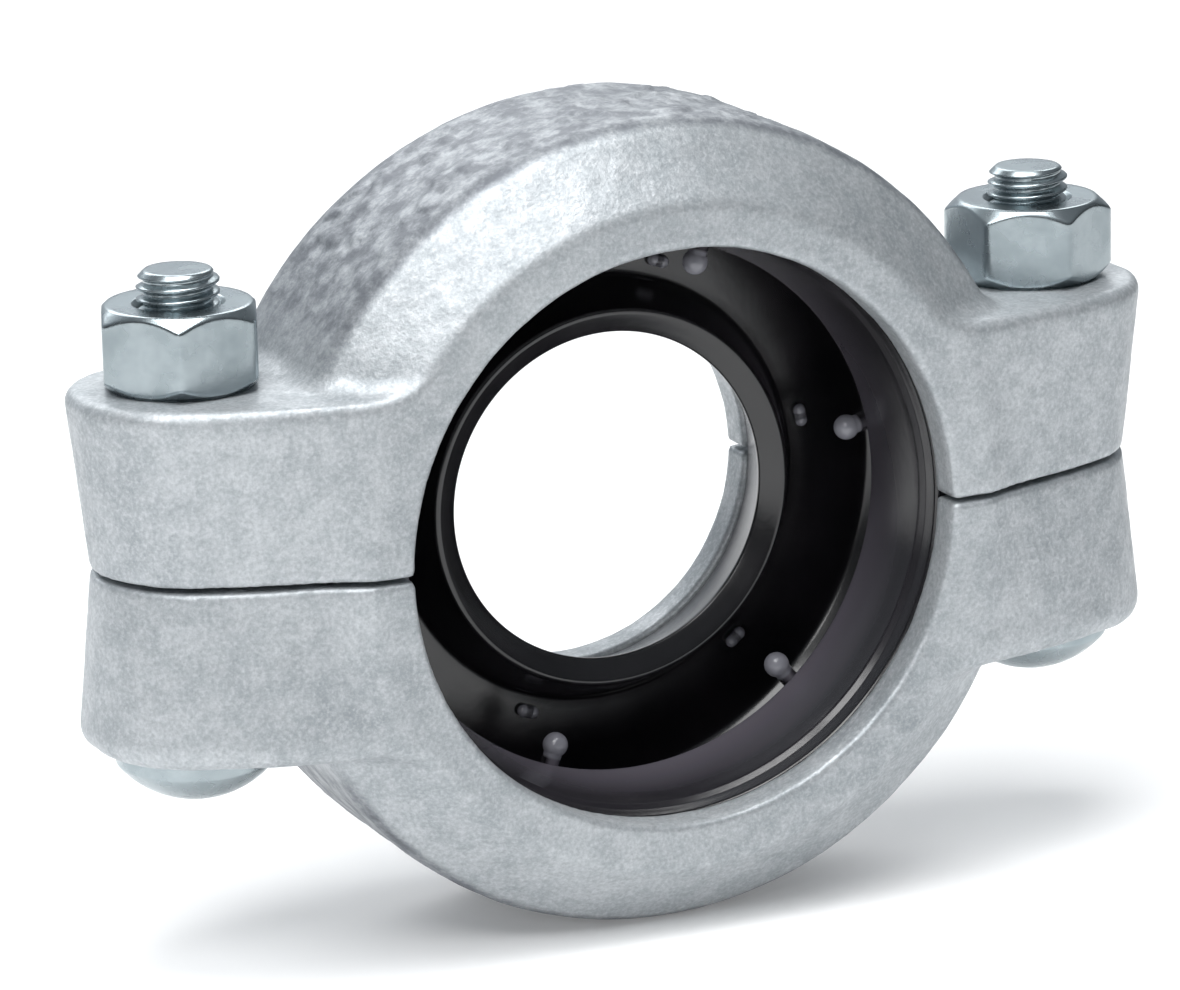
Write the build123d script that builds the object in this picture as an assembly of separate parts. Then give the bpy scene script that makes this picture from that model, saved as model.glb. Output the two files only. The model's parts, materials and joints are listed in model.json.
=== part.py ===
"""Grooved reducing pipe coupling, 3 in x 2 in (DN80 x DN50), in millimetres.

Two cast housing halves close over a stepped rubber gasket. Their keys sit in the grooves of a large
pipe at the front (-Y) and a small pipe at the rear (+Y). Two track-head bolts and two heavy hex nuts
hold the halves together.

+Y is the pipe axis, +Z points along the bolts, +X runs from bolt to bolt. The origin is on the pipe
axis, in the plane of the front face, where the large bore opens.
"""
from build123d import *
import math
import os

# Housing: one casting shape, used twice
WIDTH = 48.0                # along the pipe
BAND_R = 60.5               # outer band
FRONT_RIM_R = 49.5          # flat ring round the large bore
FRONT_RIM_ROUND = 1.2
BEVEL_DEPTH = 9.5           # from the front face to the band
BAND_FRONT_ROUND = 3.0
BAND_END = 41.5             # where the band turns down to the rear
BAND_REAR_ROUND = 4.0
REAR_SHOULDER_R = 54.0
REAR_SHOULDER_DEPTH = 2.5   # from the rear face
REAR_SHOULDER_ROUND = 3.0
REAR_RIM_R = 46.0           # flat ring round the small bore
REAR_RIM_ROUND = 2.0
HALF_GAP = 0.4              # half the gap left between the two halves
LARGE_KEY_R = 43.0
SMALL_KEY_R = 28.9
KEY_WIDTH = 6.0
KEY_ROUND = 0.6
POCKET_R = 54.0             # gasket pocket, large end
POCKET_STEP = 32.0          # where the pocket starts to narrow
POCKET_STEP_ROUND = 2.0
SMALL_POCKET_R = 41.0       # gasket pocket, small end
POCKET_ROUND = 0.8
OVERRUN = 1.0               # how far a cut reaches past the face it opens

# Bolt lugs
BOLT_X = 68.4
LUG_HEIGHT = 26.5           # from the parting plane to the bolt pad
LUG_ROOT_X = 40.0
LUG_SHOULDER_X = 51.0       # where the lug's sides start to taper
LUG_SHOULDER_ROUND = 6.0
LUG_END_X = 82.6            # at the parting plane
LUG_END_HALF = 11.0         # half the width of the lug's end, before rounding
LUG_END_ROUND = 10.5
LUG_REAR = 44.0
LUG_DRAFT = 5.0             # degrees, the lug grows away from the parting plane
SLOT_LENGTH = 18.0
SLOT_R = 7.0

# Track-head bolts, M12 x 70
BOLT_R = 6.0
BOLT_LENGTH = 70.0          # under the head
BOLT_TIP = 1.0              # chamfer
NECK_LENGTH = 17.4          # oval neck, end to end
NECK_R = 6.5
NECK_HEIGHT = 7.0
HEAD_R = 11.7
HEAD_RIM = 2.6
HEAD_HEIGHT = 8.3

# Heavy hex nuts
NUT_FLATS = 22.0
NUT_HEIGHT = 12.2
NUT_BORE_R = 6.05
NUT_FACE_R = 10.6           # flat ring inside the corner chamfers
NUT_CHAMFER = 42.0          # degrees
NUT_MARGIN = 0.1            # the chamfer cones meet outside the corners
WASHER_FACE = 0.4
LEFT_NUT_TURN = -110.5      # degrees to one corner, about +Z
RIGHT_NUT_TURN = -88.0

# Gasket
GASKET_GAP = 0.35           # clear of the pocket all round
GASKET_ROUND = 1.0
LARGE_LIP_R = 40.2
LARGE_LIP_Y = 21.6
LARGE_LIP_BACK_R = 43.0
LARGE_LIP_BACK_Y = 23.2
LARGE_LIP_ROOT_R = 43.4
SMALL_LIP_R = 24.8
SMALL_LIP_Y = 28.4
SMALL_LIP_BACK_R = 28.6
SMALL_LIP_BACK_Y = 26.2
SMALL_LIP_ROOT_R = 29.4
LIP_ROUND = 0.5
LIP_ROOT_ROUND = 0.8
CAVITY_R = 49.5             # between the lips
CAVITY_FRONT_Y = 15.6
CAVITY_CHAMFER = 3.5
CAVITY_ROUND = 2.0
WEB_Y = 34.5
WEB_INNER_R = 32.2
WEB_ROUND = 1.5
PIP_COUNT = 6
PIP_TURN = 11.0             # degrees, the first pip above +X
PIP_R = 1.9                 # ball
PIP_STALK_R = 1.4
PIP_CENTRE_R = 37.4
PIP_Y = 22.6
PIP_ROOT_R = 43.0
SMALL_PIP_R = 1.0
SMALL_PIP_LENGTH = 1.6      # between the centres of its round ends
SMALL_PIP_AT_R = 35.3
SMALL_PIP_HEIGHT = 0.4      # its centre line, from the web


def turned(points):
    """Solid of revolution about the pipe axis, from (radius, y, corner rounding) points."""
    corners = [(radius, y) for radius, y, _ in points]
    rounding = [corner for _, _, corner in points]
    outline = FilletPolyline(*corners, radius=rounding, close=True)
    return revolve(make_face(outline), Axis.Y)


def turned_on_bolt(points):
    """Solid of revolution about the Z axis, from (radius, z) points."""
    outline = Plane.XZ * Polyline(*points, close=True)
    return revolve(make_face(outline), Axis.Z)


def housing_core():
    """Everything inside the housing: the two key bores and the gasket pocket between them."""
    rear_key = WIDTH - KEY_WIDTH
    return turned([
        (0, -OVERRUN, 0),
        (LARGE_KEY_R, -OVERRUN, 0),
        (LARGE_KEY_R, KEY_WIDTH, KEY_ROUND),
        (POCKET_R, KEY_WIDTH, POCKET_ROUND),
        (POCKET_R, POCKET_STEP, POCKET_STEP_ROUND),
        (SMALL_POCKET_R, rear_key, POCKET_ROUND),
        (SMALL_KEY_R, rear_key, KEY_ROUND),
        (SMALL_KEY_R, WIDTH + OVERRUN, 0),
        (0, WIDTH + OVERRUN, 0),
    ])


def housing_shell():
    """Outer form of the ring, before the lugs and the core."""
    inside = SMALL_KEY_R - OVERRUN
    return turned([
        (inside, 0, 0),
        (FRONT_RIM_R, 0, FRONT_RIM_ROUND),
        (BAND_R, BEVEL_DEPTH, BAND_FRONT_ROUND),
        (BAND_R, BAND_END, BAND_REAR_ROUND),
        (REAR_SHOULDER_R, WIDTH - REAR_SHOULDER_DEPTH, REAR_SHOULDER_ROUND),
        (REAR_RIM_R, WIDTH, REAR_RIM_ROUND),
        (inside, WIDTH, 0),
    ])


def lug_outline():
    """Plan of the right-hand lug at the parting plane."""
    middle = WIDTH / 2
    corners = [
        (LUG_ROOT_X, 0),
        (LUG_SHOULDER_X, 0),
        (LUG_END_X, middle - LUG_END_HALF),
        (LUG_END_X, middle + LUG_END_HALF),
        (LUG_SHOULDER_X, LUG_REAR),
        (LUG_ROOT_X, LUG_REAR),
    ]
    rounding = [0, LUG_SHOULDER_ROUND, LUG_END_ROUND, LUG_END_ROUND, LUG_SHOULDER_ROUND, 0]
    return make_face(FilletPolyline(*corners, radius=rounding, close=True))


def lug():
    """Right-hand lug of the upper half, cut off flush with the front face."""
    block = extrude(lug_outline(), LUG_HEIGHT, taper=-LUG_DRAFT)
    flush = Pos(LUG_END_X / 2, WIDTH / 2, LUG_HEIGHT / 2) * Box(2 * LUG_END_X, WIDTH, 2 * LUG_HEIGHT)
    return block & flush


def bolt_slot():
    """Oval hole through a lug, which keeps the bolt's neck from turning."""
    oval = SlotOverall(SLOT_LENGTH, 2 * SLOT_R)
    return Pos(BOLT_X, WIDTH / 2, -OVERRUN) * extrude(oval, LUG_HEIGHT + 2 * OVERRUN)


def upper_housing():
    right = lug()
    ring = housing_shell() + right + mirror(right, Plane.YZ)
    slot = bolt_slot()
    solid = ring - housing_core() - slot - mirror(slot, Plane.YZ)
    above = Pos(0, WIDTH / 2, HALF_GAP + BAND_R) * Box(4 * BAND_R, 2 * WIDTH, 2 * BAND_R)
    return solid & above


def gasket_ring():
    """C-shaped ring with its two lips turned in towards each other."""
    back = WIDTH - KEY_WIDTH - GASKET_GAP
    front = KEY_WIDTH + GASKET_GAP
    return turned([
        (POCKET_R - GASKET_GAP, front, GASKET_ROUND),
        (POCKET_R - GASKET_GAP, POCKET_STEP - GASKET_GAP, WEB_ROUND),
        (SMALL_POCKET_R - GASKET_GAP, back, GASKET_ROUND),
        (SMALL_LIP_ROOT_R, back, LIP_ROOT_ROUND),
        (SMALL_LIP_R, SMALL_LIP_Y, LIP_ROUND),
        (SMALL_LIP_BACK_R, SMALL_LIP_BACK_Y, LIP_ROOT_ROUND),
        (WEB_INNER_R, WEB_Y, WEB_ROUND),
        (CAVITY_R - CAVITY_CHAMFER, WEB_Y, CAVITY_ROUND),
        (CAVITY_R, WEB_Y - CAVITY_CHAMFER, CAVITY_ROUND),
        (CAVITY_R, CAVITY_FRONT_Y, CAVITY_ROUND),
        (LARGE_LIP_BACK_R, LARGE_LIP_BACK_Y, GASKET_ROUND),
        (LARGE_LIP_R, LARGE_LIP_Y, LIP_ROUND),
        (LARGE_LIP_ROOT_R, front, LIP_ROOT_ROUND),
    ])


def large_pip():
    """Ball on a short stalk that stands inwards from the end of the large lip, on +X."""
    length = PIP_ROOT_R - PIP_CENTRE_R
    stalk = Pos(PIP_CENTRE_R + length / 2, PIP_Y, 0) * Rot(Y=90) * Cylinder(PIP_STALK_R, length)
    return stalk + Pos(PIP_CENTRE_R, PIP_Y, 0) * Sphere(PIP_R)


def small_pip():
    """Short round-ended bar that lies on the gasket's web, across the radius, on +X."""
    bar = Cylinder(SMALL_PIP_R, SMALL_PIP_LENGTH)
    for end in (-1, 1):
        bar = bar + Pos(0, 0, end * SMALL_PIP_LENGTH / 2) * Sphere(SMALL_PIP_R)
    return Pos(SMALL_PIP_AT_R, WEB_Y - SMALL_PIP_HEIGHT, 0) * bar


def reducing_gasket():
    ring = gasket_ring()
    for index in range(PIP_COUNT):
        turn = Rot(Y=-PIP_TURN - index * 360 / PIP_COUNT)
        ring = ring + turn * large_pip() + turn * small_pip()
    return ring


def track_bolt():
    """Bolt on the Z axis, head down, its head seated on the underside of a lug."""
    seat = -LUG_HEIGHT
    tip = seat + BOLT_LENGTH
    shank = turned_on_bolt([
        (0, seat),
        (BOLT_R, seat),
        (BOLT_R, tip - BOLT_TIP),
        (BOLT_R - BOLT_TIP, tip),
        (0, tip),
    ])
    neck = Pos(0, 0, seat) * extrude(SlotOverall(NECK_LENGTH, 2 * NECK_R), NECK_HEIGHT)
    cap = HEAD_HEIGHT - HEAD_RIM
    dome_r = (HEAD_R ** 2 + cap ** 2) / (2 * cap)
    bottom = seat - HEAD_HEIGHT
    barrel = Pos(0, 0, seat - HEAD_HEIGHT / 2) * Cylinder(HEAD_R, HEAD_HEIGHT)
    head = barrel & Pos(0, 0, bottom + dome_r) * Sphere(dome_r)
    return shank + neck + head


def hex_nut():
    """Nut on the Z axis, its washer face on the pad, one corner on +X."""
    corner_r = NUT_FLATS / 2 / math.cos(math.pi / 6)
    drop = (corner_r - NUT_FACE_R) * math.tan(math.radians(NUT_CHAMFER))
    prism = extrude(RegularPolygon(NUT_FLATS / 2, 6, major_radius=False, rotation=0), NUT_HEIGHT)
    envelope = turned_on_bolt([
        (NUT_BORE_R, 0),
        (NUT_FACE_R, 0),
        (NUT_FACE_R, WASHER_FACE),
        (corner_r + NUT_MARGIN, WASHER_FACE + drop),
        (corner_r + NUT_MARGIN, NUT_HEIGHT - drop),
        (NUT_FACE_R, NUT_HEIGHT),
        (NUT_BORE_R, NUT_HEIGHT),
    ])
    return Pos(0, 0, LUG_HEIGHT) * (prism & envelope)


def pieces():
    """Every piece in its place, by node name."""
    upper = upper_housing()
    lower = mirror(upper, Plane.XY)
    bolt = track_bolt()
    nut = hex_nut()
    left = Pos(-BOLT_X, WIDTH / 2, 0)
    right = Pos(BOLT_X, WIDTH / 2, 0)
    return {
        "upper_housing": upper,
        "lower_housing": lower,
        "reducing_gasket": reducing_gasket(),
        "left_track_bolt": left * bolt,
        "right_track_bolt": right * bolt,
        "left_hex_nut": left * Rot(Z=LEFT_NUT_TURN) * nut,
        "right_hex_nut": right * Rot(Z=RIGHT_NUT_TURN) * nut,
    }


os.makedirs("parts", exist_ok=True)
for name, shape in pieces().items():
    shape.label = name
    export_step(shape, f"parts/{name}.step")
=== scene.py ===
"""Looks of the grooved reducing coupling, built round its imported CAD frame.

Shapes are worked out in millimetres, in the frame's own axes: +Y along the pipe, +Z along the bolts, the
origin on the pipe axis in the plane of the front face. make_object turns them into metres.
"""
import json
import math

import bpy
import numpy as np
from mathutils import Matrix, Vector, noise


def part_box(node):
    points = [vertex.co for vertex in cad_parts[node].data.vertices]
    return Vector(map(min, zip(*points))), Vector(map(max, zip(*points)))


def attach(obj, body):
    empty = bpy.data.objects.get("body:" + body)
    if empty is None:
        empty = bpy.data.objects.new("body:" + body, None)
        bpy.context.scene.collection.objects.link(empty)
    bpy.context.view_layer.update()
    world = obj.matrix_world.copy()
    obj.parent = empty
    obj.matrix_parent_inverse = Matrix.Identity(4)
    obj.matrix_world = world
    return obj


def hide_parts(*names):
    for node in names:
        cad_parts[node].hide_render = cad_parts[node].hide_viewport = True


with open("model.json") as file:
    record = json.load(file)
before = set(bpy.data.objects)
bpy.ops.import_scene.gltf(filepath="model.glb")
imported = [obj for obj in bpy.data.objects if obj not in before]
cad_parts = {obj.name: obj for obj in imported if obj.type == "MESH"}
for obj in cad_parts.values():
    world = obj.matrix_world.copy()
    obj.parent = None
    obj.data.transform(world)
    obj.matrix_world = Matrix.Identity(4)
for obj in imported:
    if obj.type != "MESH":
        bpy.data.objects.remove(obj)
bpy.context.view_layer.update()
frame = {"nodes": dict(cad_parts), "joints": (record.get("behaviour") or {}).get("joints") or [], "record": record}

MM = 0.001
nodes = frame["nodes"]
mounts = {mount["name"]: mount for mount in frame["record"]["mounts"]}
joints = {joint["name"]: joint for joint in frame["joints"]}


def corner_mm(node, which):
    """The lowest (0) or highest (1) corner of a CAD node, in millimetres."""
    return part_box(node)[which] / MM


# Sizes that the frame gives
WIDTH = corner_mm("upper_housing", 1).y
BAND_R = corner_mm("upper_housing", 1).z
HALF_GAP = corner_mm("upper_housing", 0).z
LARGE_KEY_R = mounts["large_bore"]["dims"]["r_mm"]
SMALL_KEY_R = mounts["small_bore"]["dims"]["r_mm"]
KEY_WIDTH = mounts["large_bore"]["dims"]["length_mm"]
BOLT_X = joints["right_nut_turn"]["pos_m"][0] / MM
PAD_Z = corner_mm("right_hex_nut", 0).z
NUT_TOP = corner_mm("right_hex_nut", 1).z
BOLT_TOP = corner_mm("right_track_bolt", 1).z
HEAD_BOTTOM = corner_mm("right_track_bolt", 0).z
GASKET_FRONT = corner_mm("reducing_gasket", 0).y
GASKET_BACK = corner_mm("reducing_gasket", 1).y
GASKET_R = corner_mm("reducing_gasket", 1).z

# Housing casting
MIDDLE = WIDTH / 2
FRONT_RIM_R = 49.5
BEVEL_DEPTH = 9.5
BAND_END = 41.5
REAR_SLOPE = (54.0, 45.5)
REAR_RIM_R = 46.0
BEVEL_ROUND = 1.8
BAND_END_ROUND = 4.0
REAR_SLOPE_ROUND = 3.0
REAR_RIM_ROUND = 2.0
FACE_ROUND = 0.7
POCKET_R = 54.0
POCKET_STEP = 32.0
SMALL_POCKET_R = 41.0
KEY_ROUND = 0.8
MOUTH_ROUND = 1.0
LUG_ROOT_X = 40.0
LUG_SHOULDER_X = 51.0
LUG_END_X = 82.6
LUG_END_HALF = 11.0
LUG_FRONT = -1.2
LUG_REAR = 44.0
LUG_DRAFT = math.radians(5.0)
LUG_END_ROUND = 10.5
LUG_FRONT_ROUND = 8.0
LUG_REAR_ROUND = 4.0
LUG_FILLET = 2.8
PAD_ROUND = {"upper": 2.2, "lower": 3.6}
SLOT_HALF_STRAIGHT = 2.0
SLOT_R = 7.0
SLOT_ROUND = 0.8
CASTING_STEP = 0.72
EVENING_ROUNDS = 4

# Cast skin, and the crust on the band between two angles (degrees) and two depths
SKIN_SEED = {"upper": 1, "lower": 5}
CRUST_HEIGHT = {"upper": 0.34, "lower": 0.10}
CRUST_ANGLES = (52, 74, 132, 142)
CRUST_DEPTHS = (11.5, 14, 36, 39)
BAND_EDGE = (BAND_R - 1.6, BAND_R - 0.6)

# Threaded fasteners
PITCH = 1.75
BOLT_R = 6.0
SHANK_R = BOLT_R - 0.3
THREAD_DEPTH = 0.6134 * PITCH
THREAD_ROOT_SHARE = 0.22
THREAD_FLANK_SHARE = 0.64
THREAD_CLEARANCE = 0.12
THREAD_START = -14.0
BOLT_ROWS_PER_TURN = 14
NUT_ROWS_PER_TURN = 12
NECK_R = 6.5
NECK_HALF_STRAIGHT = 2.2
NECK_HEIGHT = 7.0
HEAD_R = 11.7
HEAD_RIM = 2.6
HEAD_EDGE = 0.9
HEAD_FILLET = 0.5
NUT_FLATS = 22.0
NUT_FACE_R = 10.6
NUT_MOUTH_R = BOLT_R + 0.75
NUT_CHAMFER = math.radians(42)
NUT_SIDE_ROWS = 64
WASHER_FACE = 0.4
NUT_TURNS = {"left": math.radians(-110.5), "right": math.radians(-88)}
ROUND_STEPS = 192
ROUND_ANGLES = np.arange(ROUND_STEPS) * 2 * math.pi / ROUND_STEPS

# Gasket
LARGE_LIP = (40.2, 21.6)
LARGE_LIP_BACK = (43.0, 23.2)
LARGE_LIP_ROOT_R = 43.4
SMALL_LIP = (24.8, 28.4)
SMALL_LIP_BACK = (28.6, 26.2)
SMALL_LIP_ROOT_R = 29.4
CAVITY_R = 49.5
CAVITY_FRONT_Y = 15.6
CAVITY_CHAMFER = 3.5
WEB_Y = 34.5
WEB_INNER_R = 32.2
PIP_COUNT = 6
PIP_TURN = math.radians(11)
PIP_R = 1.9
PIP_STALK_R = 1.4
PIP_CENTRE_R = 37.4
PIP_ROOT_R = 43.0
PIP_Y = 22.6
SMALL_PIP_R = 1.0
SMALL_PIP_LENGTH = 1.6
SMALL_PIP_AT_R = 35.3
SMALL_PIP_HEIGHT = 0.4
PEG_STEPS = 40
GASKET_STEPS = 240

# Camera
CAMERA_AZIMUTH = math.radians(-24.22)
CAMERA_ELEVATION = math.radians(15.12)
CAMERA_ROLL = math.radians(-1.315)
CAMERA_DISTANCE = 0.9375
CAMERA_LENS = 193.3
CAMERA_SHIFT_RIGHT = -0.00455
CAMERA_SHIFT_UP = 0.00108


# ---------------------------------------------------------------- distance fields

def round_max(a, b, radius):
    """Intersection of two solids given as distance fields, its edge rounded."""
    corner = np.hypot(np.maximum(a + radius, 0), np.maximum(b + radius, 0))
    return np.minimum(np.maximum(a, b), -radius) + corner


def round_min(a, b, radius):
    """Union of two solids given as distance fields, its inner corner filleted."""
    return -round_max(-a, -b, radius)


def beyond(start, end, across, along):
    """Distance past the line from start to end; outside is on its right."""
    run = end[0] - start[0]
    rise = end[1] - start[1]
    length = math.hypot(run, rise)
    return ((across - start[0]) * rise - (along - start[1]) * run) / length


def ring_field(r, y):
    """The ring outside its core, open towards the front."""
    bevel = beyond((FRONT_RIM_R, 0), (BAND_R, BEVEL_DEPTH), r, y)
    shape = round_max(r - BAND_R, bevel, BEVEL_ROUND)
    shape = round_max(shape, beyond((BAND_R, BAND_END), REAR_SLOPE, r, y), BAND_END_ROUND)
    shape = round_max(shape, beyond(REAR_SLOPE, (REAR_RIM_R, WIDTH), r, y), REAR_SLOPE_ROUND)
    return round_max(shape, y - WIDTH, REAR_RIM_ROUND)


def core_field(r, y):
    """The key bores and the gasket pocket."""
    rear_key = WIDTH - KEY_WIDTH
    pocket = np.maximum(r - POCKET_R, KEY_WIDTH - y)
    pocket = np.maximum(pocket, beyond((POCKET_R, POCKET_STEP), (SMALL_POCKET_R, rear_key), r, y))
    pocket = np.maximum(pocket, y - rear_key)
    large = np.maximum(r - LARGE_KEY_R, y - KEY_WIDTH - 1)
    small = np.maximum(r - SMALL_KEY_R, rear_key - 1 - y)
    return round_min(round_min(pocket, large, KEY_ROUND), small, KEY_ROUND)


def lug_field(x, y, z, rim):
    """One lug, from x and z without their signs. rim rounds the edge round the pad."""
    front_end = (LUG_END_X, MIDDLE - LUG_END_HALF)
    rear_end = (LUG_END_X, MIDDLE + LUG_END_HALF)
    front = beyond((LUG_SHOULDER_X, 0), front_end, x, y)
    rear = beyond(rear_end, (LUG_SHOULDER_X, LUG_REAR), x, y)
    slope = z * math.sin(LUG_DRAFT)
    sides = round_max(front - slope, x - LUG_END_X - slope, LUG_END_ROUND)
    sides = round_max(sides, rear - slope, LUG_END_ROUND)
    sides = round_max(sides, LUG_FRONT - y, LUG_FRONT_ROUND)
    sides = round_max(sides, y - LUG_REAR, LUG_REAR_ROUND)
    sides = np.maximum(sides, LUG_ROOT_X - x)
    return round_max(sides, z - PAD_Z, rim)


def slot_field(x, y):
    """The oval bolt hole, from x without its sign."""
    return np.hypot(np.maximum(np.abs(x - BOLT_X) - SLOT_HALF_STRAIGHT, 0), y - MIDDLE) - SLOT_R


def housing_field(points, rim):
    """The upper half of the housing. rim rounds the edge round the pads."""
    x = np.abs(points[..., 0])
    y = points[..., 1]
    z = points[..., 2]
    r = np.hypot(x, z)
    shape = round_min(ring_field(r, y), lug_field(x, y, z, rim), LUG_FILLET)
    shape = round_max(shape, -y, FACE_ROUND)
    shape = round_max(shape, -core_field(r, y), MOUTH_ROUND)
    shape = round_max(shape, -slot_field(x, y), SLOT_ROUND)
    return round_max(shape, HALF_GAP - z, FACE_ROUND)


# ---------------------------------------------------------------- meshes

def surface_net(field, low, high, step):
    """Vertices and quads of the surface where field is zero, one vertex in each grid cell it crosses."""
    axes = [np.arange(a, b + step, step) for a, b in zip(low, high)]
    value = field(np.stack(np.meshgrid(*axes, indexing="ij"), -1))
    inside = value < 0
    corners = np.array([(i, j, k) for i in (0, 1) for j in (0, 1) for k in (0, 1)])
    sizes = np.array(inside.shape) - 1
    count = sum(inside[i:i + sizes[0], j:j + sizes[1], k:k + sizes[2]].astype(int) for i, j, k in corners)
    cells = np.argwhere((count > 0) & (count < 8))
    at_corner = [value[tuple((cells + corner).T)] for corner in corners]
    total = np.zeros((len(cells), 3))
    hits = np.zeros(len(cells))
    for first, start in enumerate(corners):
        for second, end in enumerate(corners):
            if (end - start).min() < 0 or (end - start).sum() != 1:
                continue
            a, b = at_corner[first], at_corner[second]
            crossed = (a < 0) != (b < 0)
            share = np.where(crossed, a / np.where(crossed, a - b, 1), 0)
            total += crossed[:, None] * (start + (end - start) * share[:, None])
            hits += crossed
    vertices = np.array(low) + (cells + total / hits[:, None]) * step
    number = np.full(sizes, -1)
    number[tuple(cells.T)] = np.arange(len(cells))
    quads = []
    for axis in range(3):
        along = np.eye(3, dtype=int)[axis]
        one = np.eye(3, dtype=int)[(axis + 1) % 3]
        other = np.eye(3, dtype=int)[(axis + 2) % 3]
        here = inside[tuple(slice(0, n) for n in np.array(inside.shape) - along)]
        there = inside[tuple(slice(a, None) for a in along)]
        edges = np.argwhere(here != there)
        ring = [number[tuple((edges - shift).T)] for shift in (one + other, other, 0 * one, one)]
        loop = np.stack(ring, 1)
        leaving = here[tuple(edges.T)]
        quads.append(np.where(leaving[:, None], loop, loop[:, ::-1]))
    return vertices, np.concatenate(quads)


def settled(field, points, rounds=4, reach=0.02):
    """The points moved along the field's slope onto its zero surface."""
    for _ in range(rounds):
        slope = np.stack([
            field(points + reach * axis) - field(points - reach * axis) for axis in np.eye(3)
        ], -1) / (2 * reach)
        size = np.maximum((slope ** 2).sum(-1, keepdims=True), 0.1)
        points = points - field(points)[:, None] * slope / size
    return points


def evened(points, quads, share=0.5):
    """The points moved towards the middle of their neighbours."""
    total = np.zeros_like(points)
    count = np.zeros(len(points))
    for side in range(4):
        a, b = quads[:, side], quads[:, (side + 1) % 4]
        np.add.at(total, a, points[b])
        np.add.at(count, a, 1)
    return points + share * (total / count[:, None] - points)


def lumps(points, size, seed):
    """Smooth random heights from -1 to 1, at points in millimetres, with lumps of about that size."""
    shift = Vector((seed * 17.3, seed * 5.9, seed * 11.1))
    return np.array([noise.noise(Vector(point) / size + shift) for point in points])


def make_object(name, points, faces, material):
    """A smooth-shaded mesh object, from points in millimetres."""
    mesh = bpy.data.meshes.new(name)
    mesh.from_pydata((np.asarray(points) * MM).tolist(), [], [list(map(int, face)) for face in faces])
    mesh.validate()
    mesh.shade_smooth()
    mesh.materials.append(material)
    piece = bpy.data.objects.new(name, mesh)
    bpy.context.scene.collection.objects.link(piece)
    return piece


def normals_of(points, quads):
    """Unit vertex normals."""
    across = points[quads[:, 2]] - points[quads[:, 0]]
    along = points[quads[:, 3]] - points[quads[:, 1]]
    face = np.cross(across, along)
    normal = np.zeros_like(points)
    for side in range(4):
        np.add.at(normal, quads[:, side], face)
    return normal / np.linalg.norm(normal, axis=1, keepdims=True)


def ramp(value, low, high):
    """0 below low, 1 above high, smooth between."""
    t = np.clip((value - low) / (high - low), 0, 1)
    return t * t * (3 - 2 * t)


def window(value, start, full, fading, end):
    """1 from full to fading, 0 before start and after end, smooth between."""
    return ramp(value, start, full) * (1 - ramp(value, fading, end))


def cast_relief(points, half):
    """Height of the skin and crust of one half over its true form, in millimetres."""
    seed = SKIN_SEED[half]
    skin = 0.09 * lumps(points, 8.0, seed) + 0.05 * lumps(points, 2.4, seed + 1)
    on_band = ramp(np.hypot(points[:, 0], points[:, 2]), *BAND_EDGE)
    angle = np.degrees(np.arctan2(np.abs(points[:, 2]), points[:, 0]))
    stretch = window(angle, *CRUST_ANGLES)
    depth = window(points[:, 1], *CRUST_DEPTHS)
    patches = ramp(lumps(points, 9.0, seed + 3), -0.35, 0.05)
    raised = ramp(lumps(points, 2.9, seed + 2), 0.02, 0.16) * patches
    crust = raised - 0.5 * ramp(lumps(points, 3.8, seed + 4), 0.15, 0.4)
    return skin + CRUST_HEIGHT[half] * on_band * stretch * depth * crust


def housing(name, material, half):
    """The upper or lower half of the housing, as a cast form with rounded edges and fillets."""
    def field(points):
        return housing_field(points, PAD_ROUND[half])

    low = (-LUG_END_X - 5, -2, -2)
    high = (LUG_END_X + 5, WIDTH + 2, BAND_R + 2)
    points, quads = surface_net(field, low, high, CASTING_STEP)
    points = settled(field, points)
    for _ in range(EVENING_ROUNDS):
        points = settled(field, evened(points, quads), 2)
    points = points + normals_of(points, quads) * cast_relief(points, half)[:, None]
    if half == "lower":
        points = points * (1, 1, -1)
        quads = quads[:, ::-1]
    return make_object(name, points, quads, material)


# ---------------------------------------------------------------- turned and threaded pieces

def thread_r(angle, z):
    """Outer radius of the right-hand thread at an angle about the bolt and a height."""
    phase = (z / PITCH - angle / (2 * math.pi)) % 1
    tooth = np.abs(2 * phase - 1)
    flank = np.clip((tooth - THREAD_ROOT_SHARE) / THREAD_FLANK_SHARE, 0, 1)
    return BOLT_R - THREAD_DEPTH + THREAD_DEPTH * flank


def soft_min(a, b, blend):
    """The smaller of two lengths, with the crossing blended."""
    gap = np.maximum(blend - np.abs(a - b), 0) / blend
    return np.minimum(a, b) - gap * gap * blend / 4


def stacked(rows, middle, closed=False):
    """Points and faces of a surface of rings about an upright axis, each with its radii and its height."""
    points = []
    for radii, height in rows:
        points.append(np.stack([
            middle[0] + radii * np.cos(ROUND_ANGLES),
            middle[1] + radii * np.sin(ROUND_ANGLES),
            np.full(ROUND_STEPS, height),
        ], 1))
    points = np.concatenate(points)
    faces = []
    last = len(rows) if closed else len(rows) - 1
    for row in range(last):
        start = row * ROUND_STEPS
        above = (row + 1) % len(rows) * ROUND_STEPS
        for step in range(ROUND_STEPS):
            after = (step + 1) % ROUND_STEPS
            faces.append((start + step, start + after, above + after, above + step))
    if not closed:
        faces.append(list(range(ROUND_STEPS))[::-1])
        faces.append(list(range((len(rows) - 1) * ROUND_STEPS, len(rows) * ROUND_STEPS)))
    return points, faces


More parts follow.
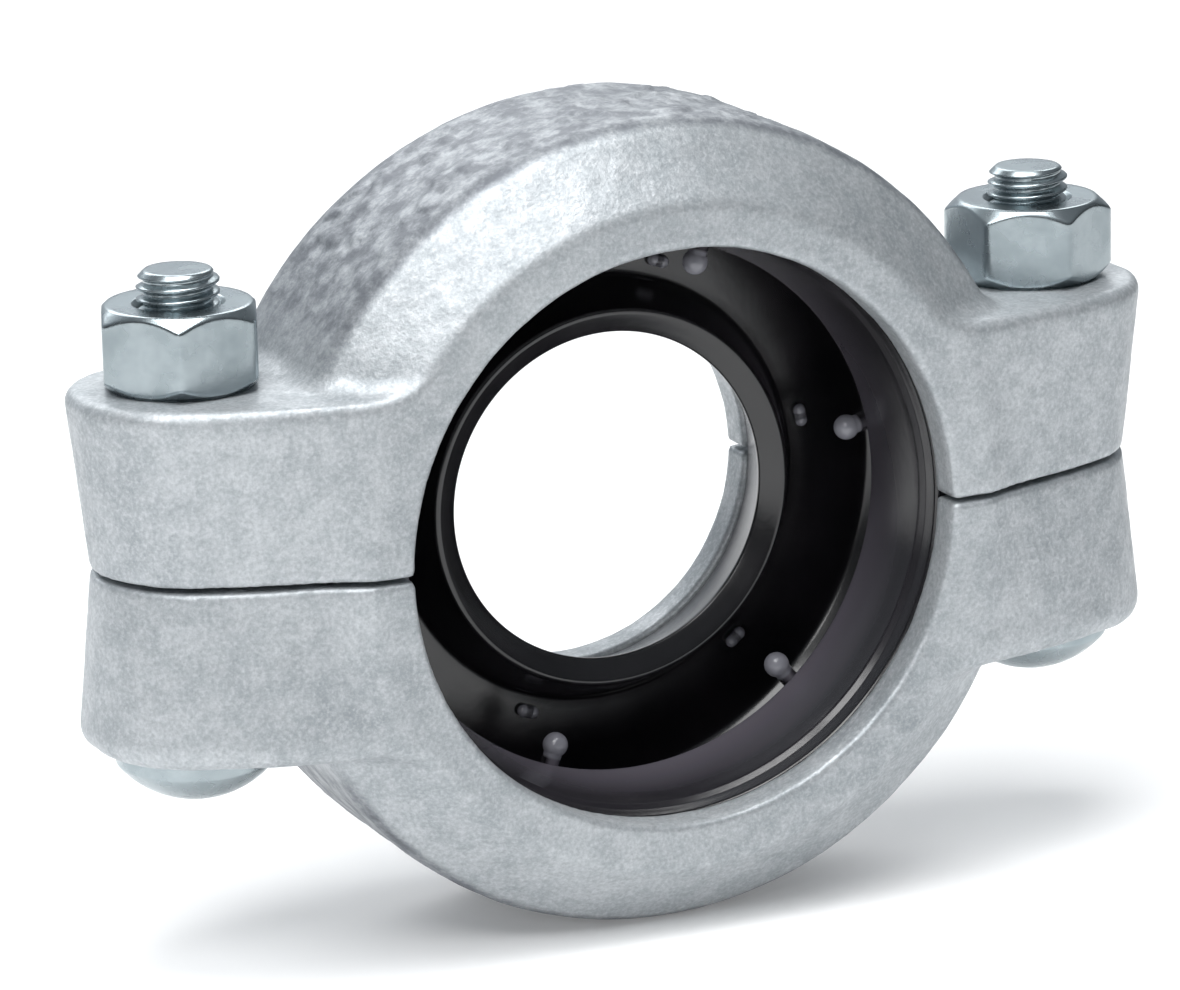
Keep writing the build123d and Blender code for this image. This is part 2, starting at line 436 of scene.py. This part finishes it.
def oval_r(angle):
    """Radius of the bolt's oval neck in a direction."""
    side = NECK_R / np.maximum(np.abs(np.sin(angle)), 1e-6)
    flat = np.abs(side * np.cos(angle)) < NECK_HALF_STRAIGHT
    reach = NECK_HALF_STRAIGHT * np.abs(np.cos(angle))
    around = reach + np.sqrt(np.maximum(NECK_R ** 2 - (NECK_HALF_STRAIGHT * np.sin(angle)) ** 2, 0))
    return np.where(flat, side, around)


def arc_rows(centre_r, centre_z, radius, start, end, steps):
    """Rings along an arc in the radius-height plane, angles in degrees."""
    rows = []
    for share in np.linspace(0, 1, steps):
        turn = math.radians(start + (end - start) * share)
        rows.append((centre_r + radius * math.cos(turn), centre_z + radius * math.sin(turn)))
    return rows


def bolt(name, material, side):
    """Track-head bolt: domed head, oval neck, shank and thread."""
    seat = -PAD_Z
    neck_top = seat + NECK_HEIGHT
    cap = seat - HEAD_RIM - HEAD_BOTTOM
    dome = (HEAD_R ** 2 + cap ** 2) / (2 * cap)
    widest = math.degrees(math.asin((HEAD_R - HEAD_EDGE) / (dome - HEAD_EDGE)))
    rim_z = HEAD_BOTTOM + dome - (dome - HEAD_EDGE) * math.cos(math.radians(widest))
    rows = arc_rows(0, HEAD_BOTTOM + dome, dome, -89.5, widest - 90, 28)
    rows += arc_rows(HEAD_R - HEAD_EDGE, rim_z, HEAD_EDGE, widest - 90, 0, 8)[1:]
    rows += arc_rows(HEAD_R - HEAD_FILLET, seat - HEAD_FILLET, HEAD_FILLET, 0, 90, 6)
    neck = oval_r(ROUND_ANGLES)
    rows.append((neck + HEAD_FILLET, seat))
    rows.append((neck + 0.2 * HEAD_FILLET, seat + 0.2 * HEAD_FILLET))
    rows.append((neck, seat + HEAD_FILLET))
    rows.append((neck, neck_top - 0.6))
    rows.append((neck - 0.4, neck_top - 0.1))
    rows.append((np.minimum(neck, BOLT_R + 0.2), neck_top))
    rows.append((SHANK_R, neck_top + 0.4))
    rows.append((SHANK_R, THREAD_START - 0.5))
    for z in np.arange(THREAD_START, BOLT_TOP, PITCH / BOLT_ROWS_PER_TURN):
        fade = min(1, (z - THREAD_START) / PITCH)
        radii = (1 - fade) * SHANK_R + fade * thread_r(ROUND_ANGLES, z)
        rows.append((soft_min(radii, BOLT_R - THREAD_DEPTH - 0.1 + BOLT_TOP - z, 0.15), z))
    top_r = BOLT_R - THREAD_DEPTH - 0.15
    rows.append((top_r, BOLT_TOP))
    rows.append((top_r - 0.5, BOLT_TOP))
    points, faces = stacked(rows, (side * BOLT_X, MIDDLE))
    return make_object(name, points, faces, material)


def nut(name, material, side, turn):
    """Heavy hex nut with a washer face, corner chamfers and an inner thread."""
    corner_r = NUT_FLATS / 2 / math.cos(math.radians(30))
    from_flat = (ROUND_ANGLES - turn) % math.radians(60) - math.radians(30)
    hexagon = soft_min(NUT_FLATS / 2 / np.cos(from_flat), corner_r - 0.12, 0.35)
    height = NUT_TOP - PAD_Z
    spread = 1 / math.tan(NUT_CHAMFER)
    rows = [(NUT_FACE_R - 0.3, PAD_Z), (NUT_FACE_R, PAD_Z + 0.1), (NUT_FACE_R, PAD_Z + WASHER_FACE)]
    for z in np.linspace(WASHER_FACE, height, NUT_SIDE_ROWS):
        lower = NUT_FACE_R + 0.15 + (z - WASHER_FACE) * spread
        upper = NUT_FACE_R - 0.1 + (height - z) * spread
        radii = soft_min(hexagon, soft_min(lower, upper, 0.3), 0.3)
        rows.append((radii, PAD_Z + z))
    rows.append((NUT_FACE_R - 0.7, NUT_TOP))
    rows.append((NUT_MOUTH_R + 0.1, NUT_TOP))
    for z in np.arange(height, 0, -PITCH / NUT_ROWS_PER_TURN):
        mouth = NUT_MOUTH_R - min(z, height - z)
        radii = np.maximum(thread_r(ROUND_ANGLES, PAD_Z + z) + THREAD_CLEARANCE, mouth)
        rows.append((radii, PAD_Z + z))
    rows.append((NUT_MOUTH_R, PAD_Z))
    points, faces = stacked(rows, (side * BOLT_X, MIDDLE), closed=True)
    return make_object(name, points, faces, material)


# ---------------------------------------------------------------- gasket

def rounded_outline(corners, longest=1.3, arc_step=math.radians(12)):
    """Points round a closed outline of (radius, y, corner rounding), arcs at its corners."""
    outline = []
    count = len(corners)
    for index, (r, y, rounding) in enumerate(corners):
        here = Vector((r, y))
        before = (Vector(corners[index - 1][:2]) - here).normalized()
        after = (Vector(corners[(index + 1) % count][:2]) - here).normalized()
        opening = before.angle(after)
        back = rounding / math.tan(opening / 2)
        centre = here + (before + after).normalized() * rounding / math.sin(opening / 2)
        start = here + before * back - centre
        sweep = math.pi - opening
        steps = max(2, math.ceil(sweep / arc_step))
        sign = 1 if before.x * after.y - before.y * after.x < 0 else -1
        for step in range(steps + 1):
            turned = Matrix.Rotation(sign * sweep * step / steps, 2) @ start
            outline.append(centre + turned)
    filled = []
    for index, point in enumerate(outline):
        following = outline[(index + 1) % len(outline)]
        parts = max(1, math.ceil((following - point).length / longest))
        filled += [point.lerp(following, part / parts) for part in range(parts)]
    return np.array(filled)


def gasket_outline():
    """Section of the gasket, as (radius, y, corner rounding)."""
    gap = POCKET_R - GASKET_R
    bead_y = GASKET_FRONT + 3.0
    return [
        (GASKET_R, GASKET_FRONT, 1.0),
        (GASKET_R, POCKET_STEP - gap, 1.5),
        (SMALL_POCKET_R - gap, GASKET_BACK, 1.0),
        (SMALL_LIP_ROOT_R, GASKET_BACK, 0.8),
        (*SMALL_LIP, 0.5),
        (*SMALL_LIP_BACK, 0.8),
        (WEB_INNER_R, WEB_Y, 1.5),
        (CAVITY_R - CAVITY_CHAMFER, WEB_Y, 2.0),
        (CAVITY_R, WEB_Y - CAVITY_CHAMFER, 2.0),
        (CAVITY_R, CAVITY_FRONT_Y, 2.0),
        (*LARGE_LIP_BACK, 1.0),
        (*LARGE_LIP, 0.5),
        (LARGE_LIP_ROOT_R - 0.85, bead_y + 1.1, 0.3),
        (LARGE_LIP_ROOT_R - 1.2, bead_y + 0.3, 0.3),
        (LARGE_LIP_ROOT_R - 0.5, bead_y - 0.6, 0.3),
        (LARGE_LIP_ROOT_R, GASKET_FRONT, 0.8),
    ]


def peg(start, end, stalk, ball):
    """Points and faces of a stalk from start, with a ball round end."""
    length = (end - start).length
    widest = math.asin(stalk / ball)
    profile = [(stalk, -0.5 * stalk)]
    for share in np.linspace(-1, 0.93, 16):
        turn = math.pi / 2 * share if share > 0 else (math.pi / 2 - widest) * share
        profile.append((ball * math.cos(turn), length + ball * math.sin(turn)))
    points = []
    for r, height in profile:
        for step in range(PEG_STEPS):
            turn = 2 * math.pi * step / PEG_STEPS
            points.append(Vector((r * math.cos(turn), r * math.sin(turn), height)))
    faces = []
    for row in range(len(profile) - 1):
        low = row * PEG_STEPS
        high = low + PEG_STEPS
        for step in range(PEG_STEPS):
            after = (step + 1) % PEG_STEPS
            faces.append((low + step, low + after, high + after, high + step))
    faces.append(list(range(PEG_STEPS))[::-1])
    faces.append([(len(profile) - 1) * PEG_STEPS + step for step in range(PEG_STEPS)])
    turn = (end - start).to_track_quat("Z", "Y")
    return [turn @ point + start for point in points], faces


def gasket(name, material):
    """The turned ring with its two lips, and its pips."""
    outline = rounded_outline(gasket_outline())
    rows = len(outline)
    points = []
    for step in range(GASKET_STEPS):
        turn = 2 * math.pi * step / GASKET_STEPS
        points += [(r * math.cos(turn), y, r * math.sin(turn)) for r, y in outline]
    faces = []
    for step in range(GASKET_STEPS):
        after = (step + 1) % GASKET_STEPS
        for row in range(rows):
            above = (row + 1) % rows
            faces.append((step * rows + row, step * rows + above, after * rows + above, after * rows + row))
    for index in range(PIP_COUNT):
        turn = PIP_TURN + 2 * math.pi * index / PIP_COUNT
        out = Vector((math.cos(turn), 0, math.sin(turn)))
        across = Vector((-math.sin(turn), 0, math.cos(turn)))
        forward = Vector((0, 1, 0))
        on_lip = out * PIP_ROOT_R + forward * PIP_Y
        on_web = out * SMALL_PIP_AT_R + forward * (WEB_Y - SMALL_PIP_HEIGHT)
        half_bar = across * SMALL_PIP_LENGTH / 2
        pegs = [
            peg(on_lip, out * PIP_CENTRE_R + forward * PIP_Y, PIP_STALK_R, PIP_R),
            peg(on_web, on_web + half_bar, SMALL_PIP_R * 0.99, SMALL_PIP_R),
            peg(on_web, on_web - half_bar, SMALL_PIP_R * 0.99, SMALL_PIP_R),
        ]
        for added_points, added_faces in pegs:
            faces += [[corner + len(points) for corner in face] for face in added_faces]
            points += [tuple(point) for point in added_points]
    return make_object(name, points, faces, material)


# ---------------------------------------------------------------- materials

def new_material(name):
    """A material and its node tree, with only the output and the surface shader."""
    material = bpy.data.materials.new(name)
    material.use_nodes = True
    return material, material.node_tree, material.node_tree.nodes["Principled BSDF"]


def add(tree, kind, **values):
    """A node of that kind with its sockets set by name, underscores standing for spaces."""
    node = tree.nodes.new(kind)
    for name, value in values.items():
        node.inputs[name.replace("_", " ")].default_value = value
    return node


def place(tree):
    """The object's own coordinates, in metres."""
    return add(tree, "ShaderNodeTexCoord").outputs["Object"]


def speckle(tree, where, scale, detail=4.0, rough=0.6):
    """Noise of that scale per metre."""
    node = add(tree, "ShaderNodeTexNoise", Scale=scale, Detail=detail, Roughness=rough)
    tree.links.new(where, node.inputs["Vector"])
    return node.outputs["Fac"]


def remapped(tree, value, low, high, to_low, to_high):
    """value from low..high to to_low..to_high, clamped."""
    node = add(tree, "ShaderNodeMapRange", From_Min=low, From_Max=high, To_Min=to_low, To_Max=to_high)
    tree.links.new(value, node.inputs["Value"])
    return node.outputs["Result"]


def mixed(tree, share, first, second):
    """Two colours mixed; each is a colour or a socket."""
    node = tree.nodes.new("ShaderNodeMix")
    node.data_type = "RGBA"
    tree.links.new(share, node.inputs[0])
    for socket, value in ((node.inputs[6], first), (node.inputs[7], second)):
        if isinstance(value, tuple):
            socket.default_value = (*value, 1)
        else:
            tree.links.new(value, socket)
    return node.outputs[2]


def split(tree, vector):
    """A node with the vector's X, Y and Z."""
    node = add(tree, "ShaderNodeSeparateXYZ")
    tree.links.new(vector, node.inputs[0])
    return node


def off_axis(tree, where):
    """Distance from the pipe axis."""
    flat = tree.nodes.new("ShaderNodeVectorMath")
    flat.operation = "MULTIPLY"
    flat.inputs[1].default_value = (1, 0, 1)
    tree.links.new(where, flat.inputs[0])
    length = tree.nodes.new("ShaderNodeVectorMath")
    length.operation = "LENGTH"
    tree.links.new(flat.outputs[0], length.inputs[0])
    return length.outputs["Value"]


def combined(tree, operation, *values):
    """The result of a math operation on one or two values."""
    node = tree.nodes.new("ShaderNodeMath")
    node.operation = operation
    for value, socket in zip(values, node.inputs):
        tree.links.new(value, socket)
    return node.outputs[0]


def between(tree, value, low, high, edge=0.0004):
    """1 where value is from low to high, 0 outside, soft over the edge."""
    above = remapped(tree, value, low - edge, low + edge, 0, 1)
    below = remapped(tree, value, high + edge, high - edge, 0, 1)
    return combined(tree, "MULTIPLY", above, below)


def bumped(tree, shader, height, distance, under=None):
    """A bump from that height, over the bump below it."""
    node = add(tree, "ShaderNodeBump", Distance=distance)
    tree.links.new(height, node.inputs["Height"])
    if under is not None:
        tree.links.new(under, node.inputs["Normal"])
    tree.links.new(node.outputs["Normal"], shader.inputs["Normal"])
    return node.outputs["Normal"]


def galvanised():
    """Hot-dip galvanised iron: blue-grey zinc, clouded, with a sandy grain, and darker on the band away from the
    lugs, partly a rougher cast skin and partly painted shade.
    """
    material, tree, shader = new_material("galvanised_casting")
    where = place(tree)
    clouds = remapped(tree, speckle(tree, where, 38, 3), 0.35, 0.65, 0, 1)
    patches = remapped(tree, speckle(tree, where, 260, 4, 0.65), 0.40, 0.62, 0, 1)
    grain = speckle(tree, where, 1500, 3, 0.7)
    base = mixed(tree, clouds, (0.34, 0.37, 0.39), (0.44, 0.47, 0.49))
    base = mixed(tree, remapped(tree, patches, 0, 1, 0, 0.32), base, (0.64, 0.66, 0.68))
    base = mixed(tree, remapped(tree, grain, 0.50, 0.68, 0, 0.34), base, (0.74, 0.76, 0.78))
    base = mixed(tree, remapped(tree, grain, 0.50, 0.32, 0, 0.34), base, (0.22, 0.24, 0.26))
    # Painted shade, partly real skin: the band is mixed towards grey-black away from the lug pads, partly a
    # rougher, darker cast skin and partly shade painted into the colour.
    outside = remapped(tree, off_axis(tree, where), BAND_EDGE[0] * MM, BAND_EDGE[1] * MM, 0, 1)
    height = combined(tree, "ABSOLUTE", split(tree, where).outputs["Z"])
    off_lugs = remapped(tree, height, PAD_Z * MM, (PAD_Z + 9) * MM, 0, 1)
    on_band = combined(tree, "MULTIPLY", outside, off_lugs)
    band_shade_and_skin = combined(tree, "MULTIPLY", on_band, remapped(tree, patches, 0, 1, 0.85, 0.4))
    base = mixed(tree, band_shade_and_skin, base, (0.12, 0.13, 0.15))
    tree.links.new(base, shader.inputs["Base Color"])
    tree.links.new(remapped(tree, patches, 0, 1, 0.50, 0.42), shader.inputs["Roughness"])
    shader.inputs["Metallic"].default_value = 0.45
    pits = bumped(tree, shader, grain, 0.00006)
    bumped(tree, shader, speckle(tree, where, 330, 4, 0.6), 0.00017, under=pits)
    return material


def zinc_plate():
    """Bright zinc plate on steel, slightly blue."""
    material, tree, shader = new_material("zinc_plated_steel")
    where = place(tree)
    clouds = remapped(tree, speckle(tree, where, 120, 3), 0.35, 0.65, 0, 1)
    colour = mixed(tree, clouds, (0.31, 0.36, 0.38), (0.39, 0.44, 0.46))
    tree.links.new(colour, shader.inputs["Base Color"])
    tree.links.new(remapped(tree, clouds, 0, 1, 0.32, 0.22), shader.inputs["Roughness"])
    shader.inputs["Metallic"].default_value = 1.0
    bumped(tree, shader, speckle(tree, where, 600, 3, 0.6), 0.00003)
    return material


def rubber():
    """Black moulded rubber, with a painted sheen on the large lip, lightest low down, and a painted highlight on
    the pips.
    """
    material, tree, shader = new_material("gasket_rubber")
    where = place(tree)
    clouds = remapped(tree, speckle(tree, where, 70, 4), 0.35, 0.65, 0, 1)
    coordinates = split(tree, where)
    along = coordinates.outputs["Y"]
    # Painted sheen: a pale purple-grey on the large lip, lightest at the bottom where light from above falls, and
    # brighter towards the lip's edge than at its root.
    low_down = remapped(tree, coordinates.outputs["Z"], -LARGE_LIP[0] * MM, 0, 1, 0.3)
    radius = off_axis(tree, where)
    lip_end = LARGE_LIP[1] * MM
    on_lip = between(tree, radius, 0, (LARGE_LIP_ROOT_R - 0.3) * MM)
    up_to_end = between(tree, along, 0, lip_end)
    fading = remapped(tree, along, lip_end - 0.009, lip_end - 0.001, 0.1, 1)
    painted_lip_sheen = combined(tree, "MULTIPLY", combined(tree, "MULTIPLY", on_lip, up_to_end), fading)
    painted_lip_sheen = combined(tree, "MULTIPLY", painted_lip_sheen, low_down)
    # Painted highlight: the pips get a pale grey base so they read as lit, though they are the same black rubber.
    at_pips = between(tree, radius, (SMALL_PIP_AT_R - 2) * MM, (PIP_CENTRE_R + PIP_R) * MM, 0.0002)
    off_web = between(tree, along, (PIP_Y - 2.5) * MM, (WEB_Y - 0.6) * MM, 0.0002)
    painted_pip_highlight = combined(tree, "MULTIPLY", at_pips, off_web)
    colour = mixed(tree, clouds, (0.004, 0.004, 0.005), (0.009, 0.008, 0.010))
    colour = mixed(tree, painted_lip_sheen, colour, (0.155, 0.142, 0.170))
    colour = mixed(tree, painted_pip_highlight, colour, (0.24, 0.24, 0.27))
    tree.links.new(colour, shader.inputs["Base Color"])
    tree.links.new(remapped(tree, clouds, 0, 1, 0.19, 0.25), shader.inputs["Roughness"])
    shader.inputs["IOR"].default_value = 1.65
    shader.inputs["Sheen Weight"].default_value = 0.06
    shader.inputs["Sheen Roughness"].default_value = 0.4
    shader.inputs["Sheen Tint"].default_value = (0.80, 0.74, 0.88, 1)
    bumped(tree, shader, speckle(tree, where, 900, 2, 0.5), 0.00001)
    return material


def floor_paint():
    """Plain pale floor."""
    material, tree, shader = new_material("pale_floor")
    shader.inputs["Base Color"].default_value = (0.90, 0.90, 0.90, 1)
    shader.inputs["Roughness"].default_value = 0.9
    shader.inputs["Specular IOR Level"].default_value = 0.1
    shader.inputs["Emission Color"].default_value = (1, 1, 1, 1)
    shader.inputs["Emission Strength"].default_value = 0.15
    return material


# ---------------------------------------------------------------- stage

def make_camera():
    """The camera, at the front left and a little above."""
    back = Vector((
        math.sin(CAMERA_AZIMUTH) * math.cos(CAMERA_ELEVATION),
        -math.cos(CAMERA_AZIMUTH) * math.cos(CAMERA_ELEVATION),
        math.sin(CAMERA_ELEVATION),
    ))
    level = (-back).cross(Vector((0, 0, 1))).normalized()
    upright = level.cross(-back)
    right = math.cos(CAMERA_ROLL) * level + math.sin(CAMERA_ROLL) * upright
    up = math.cos(CAMERA_ROLL) * upright - math.sin(CAMERA_ROLL) * level
    aim = Vector((0, MIDDLE * MM, 0)) + right * CAMERA_SHIFT_RIGHT + up * CAMERA_SHIFT_UP
    camera = bpy.data.objects.new("camera", bpy.data.cameras.new("camera"))
    camera.data.lens = CAMERA_LENS
    camera.data.sensor_width = 36
    camera.data.clip_start = 0.01
    turn = Matrix((right, up, back)).transposed().to_4x4()
    camera.matrix_world = Matrix.Translation(aim + back * CAMERA_DISTANCE) @ turn
    bpy.context.scene.collection.objects.link(camera)
    bpy.context.scene.camera = camera


def make_floor():
    """A square floor, 12 m wide, at the lowest point of the CAD model."""
    half = 6.0
    low = min(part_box(node)[0].z for node in nodes)
    corners = [(-half, -half, low), (half, -half, low), (half, half, low), (-half, half, low)]
    mesh = bpy.data.meshes.new("floor")
    mesh.from_pydata(corners, [], [(0, 1, 2, 3)])
    mesh.materials.append(floor_paint())
    floor = bpy.data.objects.new("floor", mesh)
    bpy.context.scene.collection.objects.link(floor)


def softbox(name, place_m, wide, high, power):
    """A rectangular area light at a place in metres, facing the object."""
    lamp = bpy.data.lights.new(name, "AREA")
    lamp.shape = "RECTANGLE"
    lamp.size = wide
    lamp.size_y = high
    lamp.energy = power
    light = bpy.data.objects.new(name, lamp)
    light.location = place_m
    towards = Vector((0, MIDDLE * MM, 0)) - light.location
    light.rotation_euler = towards.to_track_quat("-Z", "Y").to_euler()
    bpy.context.scene.collection.objects.link(light)


def make_lights():
    """Dim surroundings, brighter overhead and behind, and four soft boxes."""
    world = bpy.data.worlds.new("studio")
    world.use_nodes = True
    tree = world.node_tree
    direction = tree.nodes.new("ShaderNodeSeparateXYZ")
    tree.links.new(add(tree, "ShaderNodeTexCoord").outputs["Generated"], direction.inputs[0])
    background = tree.nodes["Background"]
    background.inputs["Color"].default_value = (0.86, 0.93, 1.0, 1)
    overhead = remapped(tree, direction.outputs["Z"], 0.0, 0.8, 0.05, 0.27)
    behind = remapped(tree, direction.outputs["Y"], 0.4, 0.9, 0.0, 0.5)
    tree.links.new(combined(tree, "ADD", overhead, behind), background.inputs["Strength"])
    bpy.context.scene.world = world
    softbox("bank", (-0.55, -0.46, 0.90), 0.8, 0.45, 6.5)
    softbox("above", (-0.10, -0.10, 1.00), 0.7, 0.5, 8)
    softbox("behind", (0.20, 1.15, 0.85), 1.5, 0.5, 8)
    softbox("front_left", (-0.80, -1.00, 0.60), 0.2, 0.2, 1.2)


bpy.context.scene.view_settings.view_transform = "Standard"
casting = galvanised()
zinc = zinc_plate()
black = rubber()

make_camera()
for half in ("upper", "lower"):
    shell = housing(f"{half}_casting", casting, half)
    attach(shell, f"{half}_half")
    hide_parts(f"{half}_housing")

seal = gasket("moulded_gasket", black)
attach(seal, "gasket")
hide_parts("reducing_gasket")

for side_name, side in (("left", -1), ("right", 1)):
    threaded = bolt(f"{side_name}_threaded_bolt", zinc, side)
    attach(threaded, f"{side_name}_bolt")
    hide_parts(f"{side_name}_track_bolt")
    hexed = nut(f"{side_name}_heavy_nut", zinc, side, NUT_TURNS[side_name])
    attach(hexed, f"{side_name}_nut")
    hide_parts(f"{side_name}_hex_nut")

make_floor()
make_lights()
